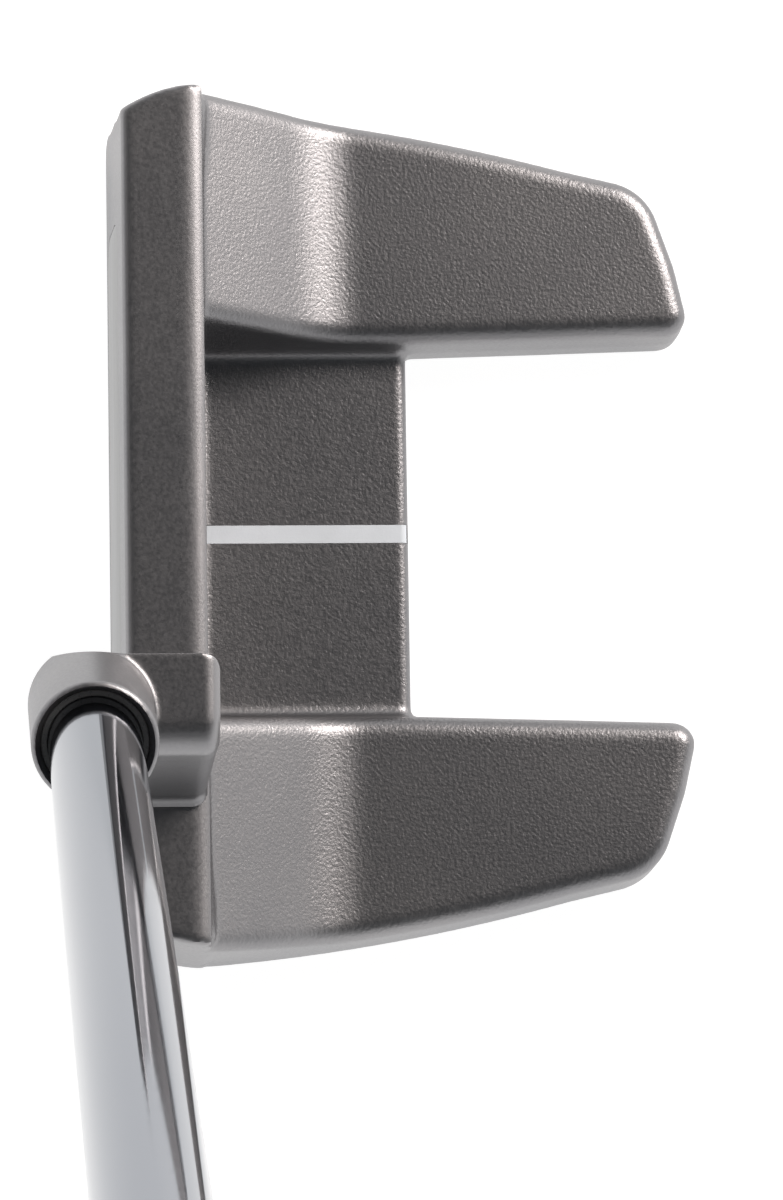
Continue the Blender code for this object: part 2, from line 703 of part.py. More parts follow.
def butt_cap(look):
    """Cap in the grip's end, with a spigot into the shaft and a vent hole through it."""
    low = GRIP_END - CAP_THICKNESS
    spigot = BUTT_RADIUS - SHAFT_WALL - GAP
    profile = [
        (VENT_RADIUS, SHAFT_BUTT - 0.0060),
        (spigot - 0.0005, SHAFT_BUTT - 0.0060),
        (spigot, SHAFT_BUTT - 0.0050),
        (spigot, low),
        (CAP_RADIUS, low),
        (CAP_RADIUS, GRIP_END - 0.0004),
        (CAP_RADIUS - 0.0004, GRIP_END),
        (VENT_RADIUS, GRIP_END),
    ]
    return place("butt_cap", turned(profile, hollow=True), look, SHAFT_FRAME)


def build():
    clear_scene()
    cast = material("blasted_steel", STEEL_DARK, 0.45, 1.0)
    milled = material("milled_aluminium", (0.55, 0.55, 0.56, 1.0), 0.42, 1.0)
    chrome = material("chrome", (0.72, 0.73, 0.76, 1.0), 0.08, 1.0)
    tungsten = material("tungsten", (0.25, 0.25, 0.26, 1.0), 0.35, 1.0)
    rubber = material("rubber", (0.02, 0.02, 0.02, 1.0), 0.75, 0.0)
    polymer = material("polymer", (0.03, 0.03, 0.035, 1.0), 0.40, 0.0)
    resin = material("resin", (0.05, 0.05, 0.055, 1.0), 0.30, 0.0)
    white = material("white_fill", (0.62, 0.64, 0.67, 1.0), 0.45, 0.0)
    tape = material("tape", (0.55, 0.50, 0.40, 1.0), 0.80, 0.0)
    head_body(cast)
    hosel_neck(cast)
    alignment_line(white)
    face_insert(milled)
    insert_bond(resin)
    sole_plate(tungsten)
    for side, sign in (("toe", -1.0), ("heel", 1.0)):
        plate_screw(side, sign, tungsten)
        axis = sole_weight(side, sign, tungsten)[1]
        weight_ring(side, axis, polymer)
    shaft(chrome)
    shaft_tip_plug(polymer)
    hosel_epoxy(resin)
    shaft_collar(polymer)
    grip_tape(tape)
    grip_skin(rubber)
    grip_mouth_ring(rubber)
    butt_cap(polymer)


build()
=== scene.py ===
# Mallet putter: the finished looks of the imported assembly, with its studio and camera.
# Row frame, in metres: +X to the heel, +Y to the back of the head, +Z up, origin on the sole.
import json
import math

import bmesh
import bpy
from mathutils import Euler, Matrix, Vector


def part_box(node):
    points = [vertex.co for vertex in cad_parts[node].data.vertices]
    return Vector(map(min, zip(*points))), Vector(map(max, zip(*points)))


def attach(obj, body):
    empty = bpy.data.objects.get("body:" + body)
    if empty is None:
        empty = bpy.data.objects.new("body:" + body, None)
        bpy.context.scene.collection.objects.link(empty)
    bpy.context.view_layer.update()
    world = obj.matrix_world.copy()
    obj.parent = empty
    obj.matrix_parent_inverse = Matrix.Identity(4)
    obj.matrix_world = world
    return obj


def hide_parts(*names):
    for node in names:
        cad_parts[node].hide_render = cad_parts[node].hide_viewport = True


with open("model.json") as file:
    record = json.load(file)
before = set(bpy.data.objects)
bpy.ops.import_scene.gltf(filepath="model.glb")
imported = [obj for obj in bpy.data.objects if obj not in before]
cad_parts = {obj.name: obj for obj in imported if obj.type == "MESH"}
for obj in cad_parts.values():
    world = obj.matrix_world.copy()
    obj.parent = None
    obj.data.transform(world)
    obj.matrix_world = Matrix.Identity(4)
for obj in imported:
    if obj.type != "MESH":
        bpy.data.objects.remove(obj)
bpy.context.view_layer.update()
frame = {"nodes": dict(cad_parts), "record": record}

# Blade
BLADE_HEIGHT = 0.0250
BLADE_BACK = -0.0164            # y of the blade's rear wall
FACE_TOP = -0.0252              # y of the face at the topline
FACE_LOFT = math.radians(2.5)
TOPLINE_HALF_BACK = 0.0467
TOPLINE_HALF_FRONT = 0.0439
END_FLARE = 0.0012
TOE_SOLE_RADIUS = 0.0050
SOLE_RADIUS = 0.0026
FRONT_EDGE_RADIUS = 0.0007
CROWN_RADIUS = 0.0040           # the topline rolls over towards its rear edge
CROWN_WIDTH = 0.0021
CROWN_DROP = 0.0006

# Fangs
FANG_ROOT_HEIGHT = 0.0200
FANG_HEIGHT = 0.0103
FANG_DIP_START = -0.0060
FANG_DIP_END = 0.0016
FANG_OUTER = 0.0470
FANG_TAPER = 0.070
FANG_BOW = 2.4
FANG_INNER = 0.0203
FANG_SPLAY = 0.030
FANG_DRAFT = math.tan(math.radians(6.0))
FANG_OUTER_DRAFT = math.tan(math.radians(3.0))
FANG_OUTER_CORNER = (0.0380, 0.0338)
FANG_INNER_CORNER = (0.0213, 0.0386)
FANG_OUTER_RADIUS = 0.0065
FANG_INNER_RADIUS = 0.0025
FANG_REAR_BOW = 0.0003
FANG_CROWN = 0.0018
FANG_SOLE_ROUND = 0.0015
FANG_DRAFT_START = 0.0053

# Flange between the fangs
FLOOR_HEIGHT = 0.0060
FLANGE_END = 0.0068
FLANGE_ROUND = 0.0009
FLOOR_FILLET = 0.0010

# Face insert, in the plane of the face
INSERT_THICKNESS = 0.0030
INSERT_CENTRE = 0.0112
INSERT_CORNER = 0.0040
INSERT_HALF = (0.0330, 0.0072)
FITTED_GAP = 0.00004            # visible joint round a bonded piece
POCKET_DEPTH = 0.0039

# Sole
PLATE_CORNER = 0.0025
PLATE_LEDGE = 0.0032
PLATE_RECESS = 0.0015
SOLE_POCKET = 0.0042
LOOSE_GAP = 0.00015             # visible joint round a screwed piece
SCREW_HEAD = 0.0010
SCREW_SHANK = 0.0006
SCREW_HOLE_DEPTH = 0.0043
SCREW_KEY = 0.0009              # across the flats of the key recess
WEIGHT_HEAD_RADIUS = 0.0060
WEIGHT_HEAD_BEVEL = 0.0004
WEIGHT_SHANK_RADIUS = 0.0040
WEIGHT_SEAT = 0.0026            # height of the shoulder under the head and washer
WEIGHT_HOLE_DEPTH = 0.0069
WEIGHT_KEY = 0.0040
THREAD_PITCH = 0.0010
THREAD_DEPTH = 0.0004

# Neck
POST_TOE = 0.0197
POST_HEEL = 0.0293
POST_FRONT = -0.0250
POST_BACK = -0.0167
POST_CORNER = 0.0016
POST_SPREAD = 0.0018
POST_FOOT_ROUND = 0.0018
ARM_TOP = 0.0570
ARM_BOTTOM = 0.0475
ARM_BACK_ROUND = 0.0016
ARM_TOE = 0.0194
ARM_HEEL_ROUND = 0.0034
TRIM_Y = (-0.0450, -0.0100)     # milled flat on the toe side of the arm
TRIM_Z = (0.0300, 0.0800)
TENON_HALF = (0.0035, 0.0025)
TENON_DEPTH = 0.0047
SOCKET_RADIUS = 0.0064

# Shaft axis: where it meets the ground, and distances along it
SHAFT_GROUND = Vector((0.00493, -0.02982, 0.0))
SHAFT_FRAME = Matrix.Translation(SHAFT_GROUND) @ Matrix.Rotation(math.radians(20.0), 4, "Y")
RIM = 0.0734
SOCKET_END = 0.0530
BORE_END = 0.0582
BORE_RADIUS = 0.00505
CHAMFER_RADIUS = 0.0060
CHAMFER_DEPTH = 0.0016
COLLAR_FOOT = 0.0709
COLLAR_TOP = 0.0724
COLLAR_GAP = 0.00003
SHAFT_TIP = 0.0587
SHAFT_BUTT = 0.8700
TIP_RADIUS = 0.0047
BUTT_RADIUS = 0.0076
SHAFT_WALL = 0.0005
STEP_COUNT = 9
FIRST_STEP = 0.3000
LAST_STEP = 0.5720
STEP_SLOPE = 0.0020

# Grip
GRIP_MOUTH = 0.6090
GRIP_END = 0.8735
MOUTH_RING_LENGTH = 0.0060
GRIP_BORE = BUTT_RADIUS + 0.00052
FLAT_DEPTH = 0.0098
GRIP_END_ROUND = 0.0020
RIB_COUNT = 9
RIB_SHARE = 0.12                # share of each pitch that a groove takes
RIB_DEPTH = 0.00025
CAP_RADIUS = 0.0105
CAP_THICKNESS = 0.0022
VENT_RADIUS = 0.0010

ROUND_SIDES = 96
CUT_PAST = 0.0010               # how far a cutter reaches past the surface it opens
WEB_TUCK = 0.0006               # how far a fillet's corner lies inside the metal
FLOOR_Z = -0.0003               # the floor lies just under the sole
WARM_LIGHT = (1.0, 0.925, 0.875)
HEAD_VOXEL = 0.0004
NECK_VOXEL = 0.00025


# Meshes ---------------------------------------------------------------------------------


def loft(loops, wrap=False, caps=True):
    """Skin closed loops of equal length; wrap joins the last loop to the first."""
    bm = bmesh.new()
    rings = [[bm.verts.new(point) for point in loop] for loop in loops]
    following = rings[1:] + rings[:1] if wrap else rings[1:]
    for lower, upper in zip(rings, following):
        for i in range(len(lower)):
            j = (i + 1) % len(lower)
            bm.faces.new((lower[i], lower[j], upper[j], upper[i]))
    if caps and not wrap:
        bm.faces.new(rings[0])
        bm.faces.new(rings[-1])
    return bm


def add_object(name, bm, at=None):
    """Turn a bmesh, moved by a matrix, into an object whose vertices hold its place."""
    bmesh.ops.recalc_face_normals(bm, faces=bm.faces)
    if at:
        bm.transform(at)
    mesh = bpy.data.meshes.new(name)
    bm.to_mesh(mesh)
    bm.free()
    obj = bpy.data.objects.new(name, mesh)
    bpy.context.collection.objects.link(obj)
    return obj


def joined(parts):
    """One bmesh out of several (bmesh, matrix) parts, each left as its own closed shell."""
    whole = bmesh.new()
    for part, at in parts:
        bmesh.ops.recalc_face_normals(part, faces=part.faces)
        if at:
            part.transform(at)
        mesh = bpy.data.meshes.new("shell")
        part.to_mesh(mesh)
        part.free()
        whole.from_mesh(mesh)
        bpy.data.meshes.remove(mesh)
    return whole


def settle(obj):
    """Bake an object's modifiers into its mesh."""
    depsgraph = bpy.context.evaluated_depsgraph_get()
    baked = bpy.data.meshes.new_from_object(obj.evaluated_get(depsgraph))
    obj.modifiers.clear()
    obj.data = baked


def fuse(obj, voxel, rounds):
    """Melt overlapping shells into one skin whose edges and corners are softly rounded."""
    remesh = obj.modifiers.new("fuse", "REMESH")
    remesh.mode = "VOXEL"
    remesh.voxel_size = voxel
    smooth = obj.modifiers.new("soften", "SMOOTH")
    smooth.factor = 0.5
    smooth.iterations = rounds
    settle(obj)


def cut(obj, cutters):
    """Machine crisp pockets into a piece, one after another."""
    for bm, at in cutters:
        tool = add_object("cutter", bm, at)
        modifier = obj.modifiers.new("cut", "BOOLEAN")
        modifier.operation = "DIFFERENCE"
        modifier.solver = "EXACT"
        modifier.object = tool
        settle(obj)
        bpy.data.objects.remove(tool, do_unlink=True)


def shade(obj, degrees=35.0):
    obj.data.shade_smooth()
    obj.data.set_sharp_from_angle(angle=math.radians(degrees))


def circle(radius, height, sides=ROUND_SIDES):
    angles = [2.0 * math.pi * i / sides for i in range(sides)]
    return [Vector((radius * math.cos(a), radius * math.sin(a), height)) for a in angles]


def turned(profile, sides=ROUND_SIDES, hollow=False):
    """Turn (radius, height) points about Z; a hollow profile closes on itself."""
    return loft([circle(r, h, sides) for r, h in profile], wrap=hollow)


def rounded_rectangle(x_range, y_range, radius, height, steps=6):
    """A level rectangle with round corners, anticlockwise from its +X +Y corner."""
    corners = [
        (x_range[1] - radius, y_range[1] - radius, 0),
        (x_range[0] + radius, y_range[1] - radius, 1),
        (x_range[0] + radius, y_range[0] + radius, 2),
        (x_range[1] - radius, y_range[0] + radius, 3),
    ]
    points = []
    for x, y, quarter in corners:
        for i in range(steps + 1):
            angle = (quarter + i / steps) * math.pi / 2.0
            points.append(Vector((x + radius * math.cos(angle), y + radius * math.sin(angle), height)))
    return points


def slab(x_range, y_range, z_range, radius, steps=6):
    return loft([rounded_rectangle(x_range, y_range, radius, z, steps) for z in z_range])


def bevelled_slab(x_range, y_range, z_range, radius, bevel):
    """A rounded plate whose upper and lower rims have a small round bevel."""
    low, high = z_range
    loops = []
    for i in range(5):
        angle = math.pi * i / 8.0
        pull = bevel * (1.0 - math.sin(angle))
        z = low + bevel * (1.0 - math.cos(angle))
        loops.append((pull, z))
    loops += [(pull, low + high - z) for pull, z in reversed(loops)]
    rings = []
    for pull, z in loops:
        x = (x_range[0] + pull, x_range[1] - pull)
        y = (y_range[0] + pull, y_range[1] - pull)
        rings.append(rounded_rectangle(x, y, radius - pull, z))
    return loft(rings)


def extruded(profile, x_range):
    """Carry a side profile of (y, z) points across from one x to another."""
    return loft([[Vector((x, y, z)) for y, z in profile] for x in x_range])


def round_drop(depth, radius):
    """How far a quarter round of this radius pulls in, at a depth below its flat."""
    inside = max(0.0, radius - depth)
    return radius - math.sqrt(radius * radius - inside * inside)


def corner_arc(before, corner, after, radius, steps):
    """Points of the arc that rounds a plan corner."""
    into = (Vector(before) - Vector(corner)).normalized()
    out = (Vector(after) - Vector(corner)).normalized()
    half = into.angle(out) / 2.0
    reach = radius / math.tan(half)
    centre = Vector(corner) + (into + out).normalized() * radius / math.sin(half)
    start = Vector(corner) + into * reach - centre
    end = Vector(corner) + out * reach - centre
    return [centre + start.slerp(end, i / steps).normalized() * radius for i in range(steps + 1)]


# Head -----------------------------------------------------------------------------------


def face_y(height):
    """y of the lofted face at a height over the sole."""
    return FACE_TOP - (BLADE_HEIGHT - height) * math.tan(FACE_LOFT)


def blade_loop(height, front_inset, rear_inset):
    """Plan outline of the blade at one height; the ends curve in towards the face."""
    front = face_y(height) + front_inset
    span = BLADE_BACK - rear_inset - front
    steps = 24
    end = []
    for i in range(steps):
        t = i / (steps - 1)
        half = TOPLINE_HALF_BACK - (TOPLINE_HALF_BACK - TOPLINE_HALF_FRONT) * (1.0 - t) ** 2
        half += END_FLARE * (1.0 - height / BLADE_HEIGHT)
        half -= round_drop(height, TOE_SOLE_RADIUS) * (1.0 - 0.75 * t) + front_inset
        end.append((half, front + span * t))
    toe_side = [Vector((-x, y, height)) for x, y in reversed(end)]
    return toe_side + [Vector((x, y, height)) for x, y in end]


def crown_inset(depth):
    """How far the crowned rear edge of the topline pulls in, at a depth below the top."""
    run = math.sqrt(max(0.0, (2.0 * CROWN_RADIUS - depth) * depth))
    return max(0.0, CROWN_WIDTH - run)


def blade():
    levels = [SOLE_RADIUS * (1.0 - math.cos(math.pi * i / 18.0)) for i in range(10)]
    levels += [0.0030, 0.0036, 0.0043, 0.0050, 0.0080, 0.0120, 0.0180, 0.0220]
    loops = [blade_loop(z, round_drop(z, SOLE_RADIUS), 0.0) for z in levels]
    for i in range(13):
        depth = CROWN_DROP * (1.0 - math.sin(math.pi * i / 24.0))
        front = round_drop(depth, FRONT_EDGE_RADIUS)
        loops.append(blade_loop(BLADE_HEIGHT - depth, front, crown_inset(depth)))
    return loft(loops)


def fang_top(y):
    """Height of a fang's upper surface: a straight slope off the blade that levels out in an arc."""
    arc = FANG_DIP_END - FANG_DIP_START
    slope = (FANG_ROOT_HEIGHT - FANG_HEIGHT) / (FANG_DIP_START - BLADE_BACK + arc / 2.0)
    if y >= FANG_DIP_END:
        return FANG_HEIGHT
    if y >= FANG_DIP_START:
        return FANG_HEIGHT + slope * (FANG_DIP_END - y) ** 2 / (2.0 * arc)
    return FANG_HEIGHT + slope * (arc / 2.0 + FANG_DIP_START - y)


def fang_outer_x(y):
    run = y - BLADE_BACK
    return FANG_OUTER - FANG_TAPER * run - FANG_BOW * run * run


def fang_inner_x(y):
    return FANG_INNER + FANG_SPLAY * max(0.0, y - FLANGE_END)


def fang_chains():
    """The outer and inner edges in plan, front to rear, ending at the rear edge's middle."""
    tuck = BLADE_BACK - 0.0020
    stations = [BLADE_BACK - 0.0005 + 0.0010 * i for i in range(42)]
    outer = [Vector((FANG_OUTER - 0.0030, tuck))]
    outer += [Vector((fang_outer_x(y), y)) for y in stations]
    outer += corner_arc(outer[-1], FANG_OUTER_CORNER, FANG_INNER_CORNER, FANG_OUTER_RADIUS, 16)
    inner = [Vector((FANG_INNER, tuck))]
    inner += [Vector((fang_inner_x(y), y)) for y in stations]
    inner += corner_arc(inner[-1], FANG_INNER_CORNER, FANG_OUTER_CORNER, FANG_INNER_RADIUS, 16)
    middle = (outer[-1] + inner[-1]) / 2.0 + Vector((0.0, FANG_REAR_BOW))
    return outer, inner, middle


def outward(loop, index):
    """Unit normal of a plan outline that runs anticlockwise."""
    along = loop[(index + 1) % len(loop)] - loop[index - 1]
    return Vector((along.y, -along.x)).normalized()


def fang():
    """The heel-side fang, as rings of its outline from the sole to the crowned top."""
    outer, inner, middle = fang_chains()
    plan = outer + [middle] + list(reversed(inner))
    normals = [outward(plan, i) for i in range(len(plan))]

    def ring(inset, height_of):
        points = []
        for point, normal in zip(plan, normals):
            z = height_of(point.y)
            lean = FANG_DRAFT * max(0.0, z - FANG_DRAFT_START) * max(0.0, -normal.x)
            lean -= FANG_OUTER_DRAFT * max(0.0, FANG_HEIGHT - z) * max(0.0, normal.x)
            moved = point - normal * (inset + lean)
            points.append(Vector((moved.x, moved.y, z)))
        return points

    loops = []
    for i in range(5):
        angle = math.pi * i / 8.0
        z = FANG_SOLE_ROUND * (1.0 - math.cos(angle))
        loops.append(ring(FANG_SOLE_ROUND * (1.0 - math.sin(angle)), lambda y, z=z: z))
    loops.append(ring(0.0, lambda y: FANG_DRAFT_START))
    for i in range(10):
        angle = math.pi * i / 18.0
        drop = FANG_CROWN * (1.0 - math.sin(angle))
        pull = FANG_CROWN * (1.0 - math.cos(angle))
        loops.append(ring(pull, lambda y, drop=drop: fang_top(y) - drop))
    bm = loft(loops, caps=False)
    bm.verts.ensure_lookup_table()
    count = len(plan)
    bm.faces.new(bm.verts[:count])
    top = bm.verts[-count:]
    for i in range(len(outer)):
        left, right = i, count - 1 - i
        if right - left > 2:
            bm.faces.new((top[left], top[left + 1], top[right - 1], top[right]))
        else:
            bm.faces.new((top[left], top[left + 1], top[right]))
    return bm


def mirrored(bm):
    bmesh.ops.scale(bm, vec=(-1.0, 1.0, 1.0), verts=bm.verts)
    return bm


def flange():
    """The low floor between the fangs, extruded across from its side profile."""
    front = BLADE_BACK - 0.0012
    profile = [(front, 0.0), (FLANGE_END - FLANGE_ROUND, 0.0), (FLANGE_END, FLANGE_ROUND)]
    for i in range(9):
        angle = math.pi * i / 16.0
        y = FLANGE_END - FLANGE_ROUND * (1.0 - math.cos(angle))
        profile.append((y, FLOOR_HEIGHT - FLANGE_ROUND * (1.0 - math.sin(angle))))
    profile.append((front, FLOOR_HEIGHT))
    reach = FANG_INNER + 0.0020
    return extruded(profile, (-reach, reach))


def hollow_corner(radius):
    """Side profile of the web in a right-angled corner, its corner a little inside the metal."""
    arc = []
    for i in range(9):
        angle = math.pi * i / 16.0
        arc.append((radius * (1.0 - math.sin(angle)), radius * (1.0 - math.cos(angle))))
    return [(-WEB_TUCK, -WEB_TUCK), (radius, -WEB_TUCK)] + arc + [(-WEB_TUCK, radius)]


def wall_fillet():
    """Web along the foot of the blade's rear wall, over the floor."""
    profile = [(BLADE_BACK + y, FLOOR_HEIGHT + z) for y, z in hollow_corner(FLOOR_FILLET)]
    return extruded(profile, (-FANG_INNER, FANG_INNER))


def side_fillet(sign):
    """Web along the foot of a fang's inner wall, over the floor."""
    loops = []
    for y in (BLADE_BACK - WEB_TUCK, FLANGE_END - FLANGE_ROUND):
        loop = []
        for across, up in hollow_corner(FLOOR_FILLET):
            loop.append(Vector((sign * (FANG_INNER - across), y, FLOOR_HEIGHT + up)))
        loops.append(loop)
    return loft(loops)


def face_frame():
    """Local frame of the face: X to the heel, Y up the face, Z out of it."""
    up = Vector((0.0, math.sin(FACE_LOFT), math.cos(FACE_LOFT)))
    out = Vector((0.0, -math.cos(FACE_LOFT), math.sin(FACE_LOFT)))
    at = Matrix((Vector((1.0, 0.0, 0.0)), up, out)).transposed().to_4x4()
    at.translation = Vector((0.0, face_y(INSERT_CENTRE), INSERT_CENTRE))
    return at


def node_ranges(node, grow=0.0):
    """x, y and z ranges of a CAD node's box, grown a little all round."""
    low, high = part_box(node)
    return [(low[i] - grow, high[i] + grow) for i in range(3)]


def axis_of(node):
    """Matrix that stands on a node's vertical axis, at the sole."""
    low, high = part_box(node)
    middle = (low + high) / 2.0
    return Matrix.Translation((middle.x, middle.y, 0.0))


def weight_pocket():
    head = WEIGHT_HEAD_RADIUS + LOOSE_GAP
    shank = WEIGHT_SHANK_RADIUS + LOOSE_GAP
    profile = [(head, -CUT_PAST), (head, WEIGHT_SEAT), (shank, WEIGHT_SEAT), (shank, WEIGHT_HOLE_DEPTH)]
    return turned(profile)


def tenon_socket():
    x = (POST_TOE + POST_HEEL) / 2.0
    y = (POST_FRONT + POST_BACK) / 2.0 + 0.0002
    x_range = (x - TENON_HALF[0] - FITTED_GAP, x + TENON_HALF[0] + FITTED_GAP)
    y_range = (y - TENON_HALF[1] - FITTED_GAP, y + TENON_HALF[1] + FITTED_GAP)
    return slab(x_range, y_range, (BLADE_HEIGHT - TENON_DEPTH, BLADE_HEIGHT + CUT_PAST), 0.0008)


def head_cutters():
    """Every crisp pocket of the head, with where it stands."""
    half_x = INSERT_HALF[0] + FITTED_GAP
    half_y = INSERT_HALF[1] + FITTED_GAP
    face = slab((-half_x, half_x), (-half_y, half_y), (-POCKET_DEPTH, 0.0030), INSERT_CORNER, 10)
    plate_x, plate_y, _ = node_ranges("sole_plate", LOOSE_GAP)
    plate = slab(plate_x, plate_y, (-CUT_PAST, PLATE_RECESS), PLATE_CORNER)
    under_x, under_y, _ = node_ranges("sole_plate", -PLATE_LEDGE)
    under = slab(under_x, under_y, (-CUT_PAST, SOLE_POCKET), PLATE_CORNER)
    line_x, _, line_z = node_ranges("alignment_line", FITTED_GAP)
    line_y = (BLADE_BACK, FLANGE_END + CUT_PAST)
    line = slab(line_x, line_y, (line_z[0], line_z[1] + CUT_PAST), 0.0001, 1)
    cutters = [(face, face_frame()), (plate, None), (under, None), (line, None), (tenon_socket(), None)]
    hole_radius = SCREW_SHANK + LOOSE_GAP
    for side in ("toe", "heel"):
        hole = turned([(hole_radius, 0.0), (hole_radius, SCREW_HOLE_DEPTH)], 32)
        cutters.append((hole, axis_of(f"sole_plate_screw_{side}")))
        cutters.append((weight_pocket(), axis_of(f"{side}_weight")))
    return cutters


def head_piece():
    shells = [
        (blade(), None),
        (fang(), None),
        (mirrored(fang()), None),
        (flange(), None),
        (wall_fillet(), None),
        (side_fillet(1.0), None),
        (side_fillet(-1.0), None),
    ]
    head = add_object("head_casting", joined(shells))
    fuse(head, HEAD_VOXEL, 5)
    cut(head, head_cutters())
    shade(head)
    return head


def alignment_line():
    """White filling of the groove, running over the rounded rear edge of the flange."""
    x_range, y_range, z_range = node_ranges("alignment_line")
    profile = [(y_range[0], z_range[0]), (FLANGE_END - 0.0008, z_range[0])]
    for i in range(7):
        angle = math.pi * (0.22 + 0.28 * i / 6.0)
        y = FLANGE_END - FLANGE_ROUND * (1.0 - math.cos(angle)) - 0.00002
        profile.append((y, FLOOR_HEIGHT - FLANGE_ROUND * (1.0 - math.sin(angle))))
    profile.append((y_range[0], z_range[1]))
    line = add_object("line_filling", extruded(profile, x_range))
    shade(line)
    return line


def face_insert():
    half_x, half_y = INSERT_HALF
    bm = bevelled_slab((-half_x, half_x), (-half_y, half_y), (-INSERT_THICKNESS, 0.0), INSERT_CORNER, 0.0001)
    insert = add_object("insert_plate", bm, face_frame())
    shade(insert)
    return insert


def sole_plate():
    x_range, y_range, z_range = node_ranges("sole_plate")
    plate = add_object("plate_panel", bevelled_slab(x_range, y_range, z_range, PLATE_CORNER, 0.0002))
    cutters = []
    head = SCREW_HEAD + 0.0002
    shank = SCREW_SHANK + 0.0002
    for side in ("toe", "heel"):
        profile = [(head + 0.0004, -0.0003), (head, 0.0004), (head, 0.0007), (shank, 0.0009), (shank, 0.0030)]
        cutters.append((turned(profile, 48), axis_of(f"sole_plate_screw_{side}")))
    cut(plate, cutters)
    shade(plate)
    return plate


def hexagon_key(width, low, high):
    """A hexagonal bar, to cut a key recess; width is across its flats."""
    return loft([circle(width / math.sqrt(3.0), z, 6) for z in (low, high)])


def plate_screw(side):
    low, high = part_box(f"sole_plate_screw_{side}")
    profile = [
        (SCREW_HEAD * 0.86, low.z),
        (SCREW_HEAD * 0.97, low.z + 0.00006),
        (SCREW_HEAD, low.z + 0.00018),
        (SCREW_HEAD, low.z + 0.0004),
        (SCREW_SHANK, low.z + 0.0007),
        (SCREW_SHANK, high.z - 0.0002),
        (SCREW_SHANK * 0.7, high.z),
    ]
    axis = axis_of(f"sole_plate_screw_{side}")
    screw = add_object(f"plate_screw_{side}", turned(profile, 48), axis)
    key = hexagon_key(SCREW_KEY, low.z - 0.0005, low.z + 0.0005)
    cut(screw, [(key, axis)])
    shade(screw)
    return screw


def thread_ridge(radius, depth, pitch, low, high):
    """One continuous triangular ridge that climbs a shank."""
    turns = (high - low) / pitch
    steps = int(turns * 48)
    loops = []
    for i in range(steps + 1):
        angle = 2.0 * math.pi * turns * i / steps
        z = low + (high - low) * i / steps
        fade = min(1.0, 6.0 * i / steps, 6.0 * (steps - i) / steps)
        out = Vector((math.cos(angle), math.sin(angle), 0.0))
        core = out * (radius - depth * 1.5)
        crest = out * (radius - depth * (1.0 - fade))
        half = pitch * 0.42
        lift = Vector((0.0, 0.0, z))
        up = Vector((0.0, 0.0, half))
        tip = Vector((0.0, 0.0, pitch * 0.06))
        loops.append([core + lift - up, crest + lift - tip, crest + lift + tip, core + lift + up])
    return loft(loops)


def sole_weight(side):
    """Threaded plug; its head has a bevelled rim, a ring groove and a hexagonal key recess."""
    low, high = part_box(f"{side}_weight")
    core = WEIGHT_SHANK_RADIUS - THREAD_DEPTH
    bevel = WEIGHT_HEAD_BEVEL
    axis = axis_of(f"{side}_weight")
    profile = [(WEIGHT_HEAD_RADIUS - 0.0012, low.z), (WEIGHT_HEAD_RADIUS - bevel, low.z + 0.00005)]
    for i in range(1, 7):
        angle = math.pi * i / 12.0
        r = WEIGHT_HEAD_RADIUS - bevel * (1.0 - math.sin(angle))
        profile.append((r, low.z + 0.00005 + bevel * (1.0 - math.cos(angle))))
    profile += [
        (WEIGHT_HEAD_RADIUS, 0.0013),
        (WEIGHT_HEAD_RADIUS - 0.0001, 0.0014),
        (core, 0.0014),
        (core, high.z - 0.0006),
        (core - 0.0006, high.z),
    ]
    weight = add_object(f"{side}_weight_plug", turned(profile), axis)
    key = hexagon_key(WEIGHT_KEY, low.z - CUT_PAST, 0.0035)
    start, bottom = low.z - CUT_PAST, low.z + 0.00025
    section = [(0.0040, start), (0.0040, bottom), (0.0044, bottom), (0.0044, start)]
    groove = turned(section, hollow=True)
    cut(weight, [(key, axis), (groove, axis)])
    ridge = thread_ridge(WEIGHT_SHANK_RADIUS, THREAD_DEPTH, THREAD_PITCH, 0.0024, high.z - 0.0008)
    ridge_part = add_object("ridge", ridge, axis)
    whole = bmesh.new()
    whole.from_mesh(weight.data)
    whole.from_mesh(ridge_part.data)
    whole.to_mesh(weight.data)
    whole.free()
    bpy.data.objects.remove(ridge_part, do_unlink=True)
    shade(weight)
    return weight


def weight_ring(side):
    low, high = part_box(f"{side}_weight_ring")
    outer = (high.x - low.x) / 2.0
    inner = WEIGHT_SHANK_RADIUS + 0.0001
    edge = 0.00012
    profile = [
        (inner, low.z + edge),
        (inner + edge, low.z),
        (outer - edge, low.z),
        (outer, low.z + edge),
        (outer, high.z - edge),
        (outer - edge, high.z),
        (inner + edge, high.z),
        (inner, high.z - edge),
    ]
    ring = add_object(f"{side}_washer", turned(profile, hollow=True), axis_of(f"{side}_weight_ring"))
    shade(ring)
    return ring


# Neck -----------------------------------------------------------------------------------


def post():
    """Upright of the neck, with a foot that flares out over the blade."""
    back = (POST_FRONT, POST_BACK)
    root = (POST_TOE - 0.0004, POST_HEEL + POST_SPREAD)
    loops = [rounded_rectangle(root, back, POST_CORNER, BLADE_HEIGHT + 0.0002)]
    for i in range(10):
        angle = math.pi * i / 18.0
        flare = POST_FOOT_ROUND * (1.0 - math.sin(angle))
        rise = POST_FOOT_ROUND * (1.0 - math.cos(angle))
        share = rise / (ARM_TOP - BLADE_HEIGHT)
        heel = POST_HEEL + POST_SPREAD * (1.0 - share) + flare
        toe = POST_TOE - 0.4 * flare
        z = BLADE_HEIGHT + 0.0003 + rise
        loops.append(rounded_rectangle((toe, heel), back, POST_CORNER, z))
    loops.append(rounded_rectangle((POST_TOE, POST_HEEL), back, POST_CORNER, ARM_TOP - ARM_HEEL_ROUND))
    return loft(loops)


